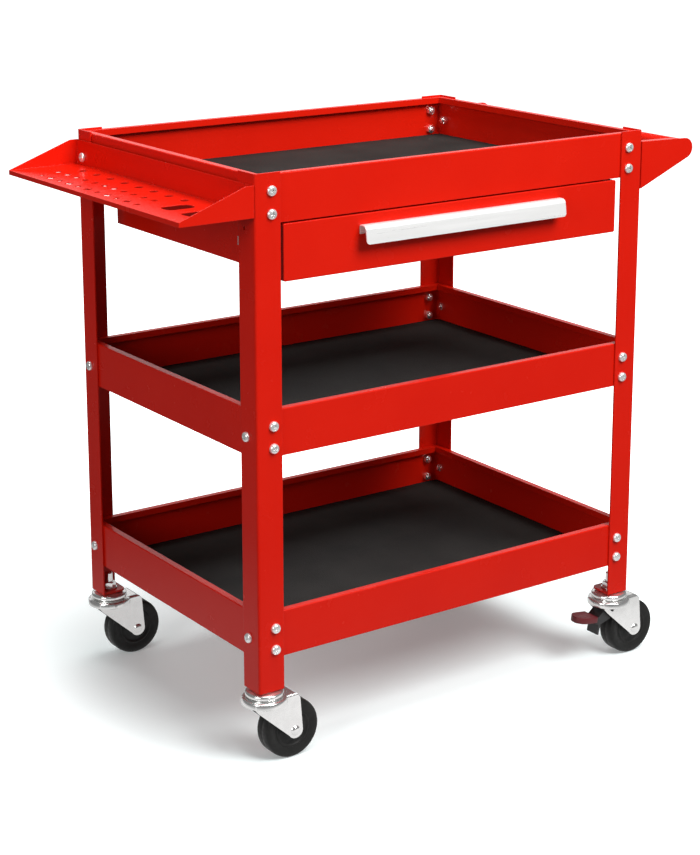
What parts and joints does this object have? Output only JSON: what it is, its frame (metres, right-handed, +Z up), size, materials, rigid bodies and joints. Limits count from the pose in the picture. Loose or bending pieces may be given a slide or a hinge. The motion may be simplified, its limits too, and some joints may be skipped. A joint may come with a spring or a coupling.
{
  "type": "rolling tool cart",
  "caption": "Open rolling tool cart of folded sheet trays on angle legs, with a shallow drawer, a perforated side tool holder, a tubular push handle and swivel casters.",
  "frame": {"origin": "on the floor, under the centre of the bounding box", "axes": "+X from the tool holder towards the push handle, -Y the way the drawer opens, +Z up"},
  "size_m": [0.781, 0.4508, 0.726],
  "materials": {
    "red_powder_coat": "glossy red powder coat on folded steel sheet",
    "bright_zinc": "bright zinc plating",
    "polished_steel": "polished bright steel",
    "liner_mat": "matt charcoal liner with a fine grain",
    "wheel_rubber": "moulded black rubber with concentric rings",
    "black_steel": "black painted steel",
    "brake_plastic": "dark red moulded plastic"
  },
  "bodies": {
    "chassis": {"leg_front_left": "red_powder_coat", "leg_front_right": "red_powder_coat", "leg_rear_left": "red_powder_coat", "leg_rear_right": "red_powder_coat", "tray_top": "red_powder_coat", "tray_middle": "red_powder_coat", "tray_bottom": "red_powder_coat", "mat_top": "liner_mat", "mat_middle": "liner_mat", "mat_bottom": "liner_mat", "bolt_front_left_1": "bright_zinc", "bolt_front_left_2": "bright_zinc", "bolt_front_left_3": "bright_zinc", "bolt_front_right_1": "bright_zinc", "bolt_front_right_2": "bright_zinc", "bolt_front_right_3": "bright_zinc", "bolt_rear_left_1": "bright_zinc", "bolt_rear_left_2": "bright_zinc", "bolt_rear_left_3": "bright_zinc", "bolt_rear_right_1": "bright_zinc", "bolt_rear_right_2": "bright_zinc", "bolt_rear_right_3": "bright_zinc", "tool_holder": "red_powder_coat", "handle_bracket_front": "red_powder_coat", "handle_bracket_rear": "red_powder_coat", "handle_tube": "red_powder_coat", "drawer_hanger_left": "red_powder_coat", "drawer_hanger_right": "red_powder_coat", "slide_channel_left": "bright_zinc", "slide_channel_right": "bright_zinc", "caster_stem_front_left": "bright_zinc", "caster_nut_front_left": "bright_zinc", "caster_stem_front_right": "bright_zinc", "caster_nut_front_right": "bright_zinc", "caster_stem_rear_left": "bright_zinc", "caster_nut_rear_left": "bright_zinc", "caster_stem_rear_right": "bright_zinc", "caster_nut_rear_right": "bright_zinc"},
    "drawer": {"slide_runner_left": "bright_zinc", "slide_runner_right": "bright_zinc", "drawer_box": "red_powder_coat", "drawer_front": "red_powder_coat", "drawer_pull": "polished_steel"},
    "fork_front_left": {"caster_fork_front_left": "bright_zinc", "caster_axle_front_left": "bright_zinc"},
    "wheel_front_left": {"caster_wheel_front_left": "wheel_rubber"},
    "fork_front_right": {"caster_fork_front_right": "bright_zinc", "caster_axle_front_right": "bright_zinc"},
    "wheel_front_right": {"caster_wheel_front_right": "wheel_rubber"},
    "brake_front_right": {"brake_lever_front_right": "black_steel", "brake_pedal_front_right": "brake_plastic"},
    "fork_rear_left": {"caster_fork_rear_left": "bright_zinc", "caster_axle_rear_left": "bright_zinc"},
    "wheel_rear_left": {"caster_wheel_rear_left": "wheel_rubber"},
    "fork_rear_right": {"caster_fork_rear_right": "bright_zinc", "caster_axle_rear_right": "bright_zinc"},
    "wheel_rear_right": {"caster_wheel_rear_right": "wheel_rubber"},
    "brake_rear_right": {"brake_lever_rear_right": "black_steel", "brake_pedal_rear_right": "brake_plastic"}
  },
  "joints": [
    {"name": "drawer_slide", "type": "slide", "parent": "chassis", "child": "drawer", "axis": [0, -1, 0], "range_m": [0, 0.26]},
    {"name": "swivel_front_left", "type": "hinge", "parent": "chassis", "child": "fork_front_left", "pos_m": [-0.2745, -0.1931, 0.096], "axis": [0, 0, 1], "continuous": true},
    {"name": "spin_front_left", "type": "hinge", "parent": "fork_front_left", "child": "wheel_front_left", "pos_m": [-0.2415, -0.1931, 0.0375], "axis": [0, 1, 0], "continuous": true},
    {"name": "swivel_front_right", "type": "hinge", "parent": "chassis", "child": "fork_front_right", "pos_m": [0.2825, -0.1931, 0.096], "axis": [0, 0, 1], "continuous": true},
    {"name": "spin_front_right", "type": "hinge", "parent": "fork_front_right", "child": "wheel_front_right", "pos_m": [0.3155, -0.1931, 0.0375], "axis": [0, 1, 0], "continuous": true},
    {"name": "brake_front_right", "type": "hinge", "parent": "fork_front_right", "child": "brake_front_right", "pos_m": [0.274, -0.1931, 0.0725], "axis": [0, -1, 0], "range_deg": [0, 12]},
    {"name": "swivel_rear_left", "type": "hinge", "parent": "chassis", "child": "fork_rear_left", "pos_m": [-0.2745, 0.1969, 0.096], "axis": [0, 0, 1], "continuous": true},
    {"name": "spin_rear_left", "type": "hinge", "parent": "fork_rear_left", "child": "wheel_rear_left", "pos_m": [-0.2415, 0.1969, 0.0375], "axis": [0, 1, 0], "continuous": true},
    {"name": "swivel_rear_right", "type": "hinge", "parent": "chassis", "child": "fork_rear_right", "pos_m": [0.2825, 0.1969, 0.096], "axis": [0, 0, 1], "continuous": true},
    {"name": "spin_rear_right", "type": "hinge", "parent": "fork_rear_right", "child": "wheel_rear_right", "pos_m": [0.3155, 0.1969, 0.0375], "axis": [0, 1, 0], "continuous": true},
    {"name": "brake_rear_right", "type": "hinge", "parent": "fork_rear_right", "child": "brake_rear_right", "pos_m": [0.274, 0.1969, 0.0725], "axis": [0, -1, 0], "range_deg": [0, 12]}
  ]
}
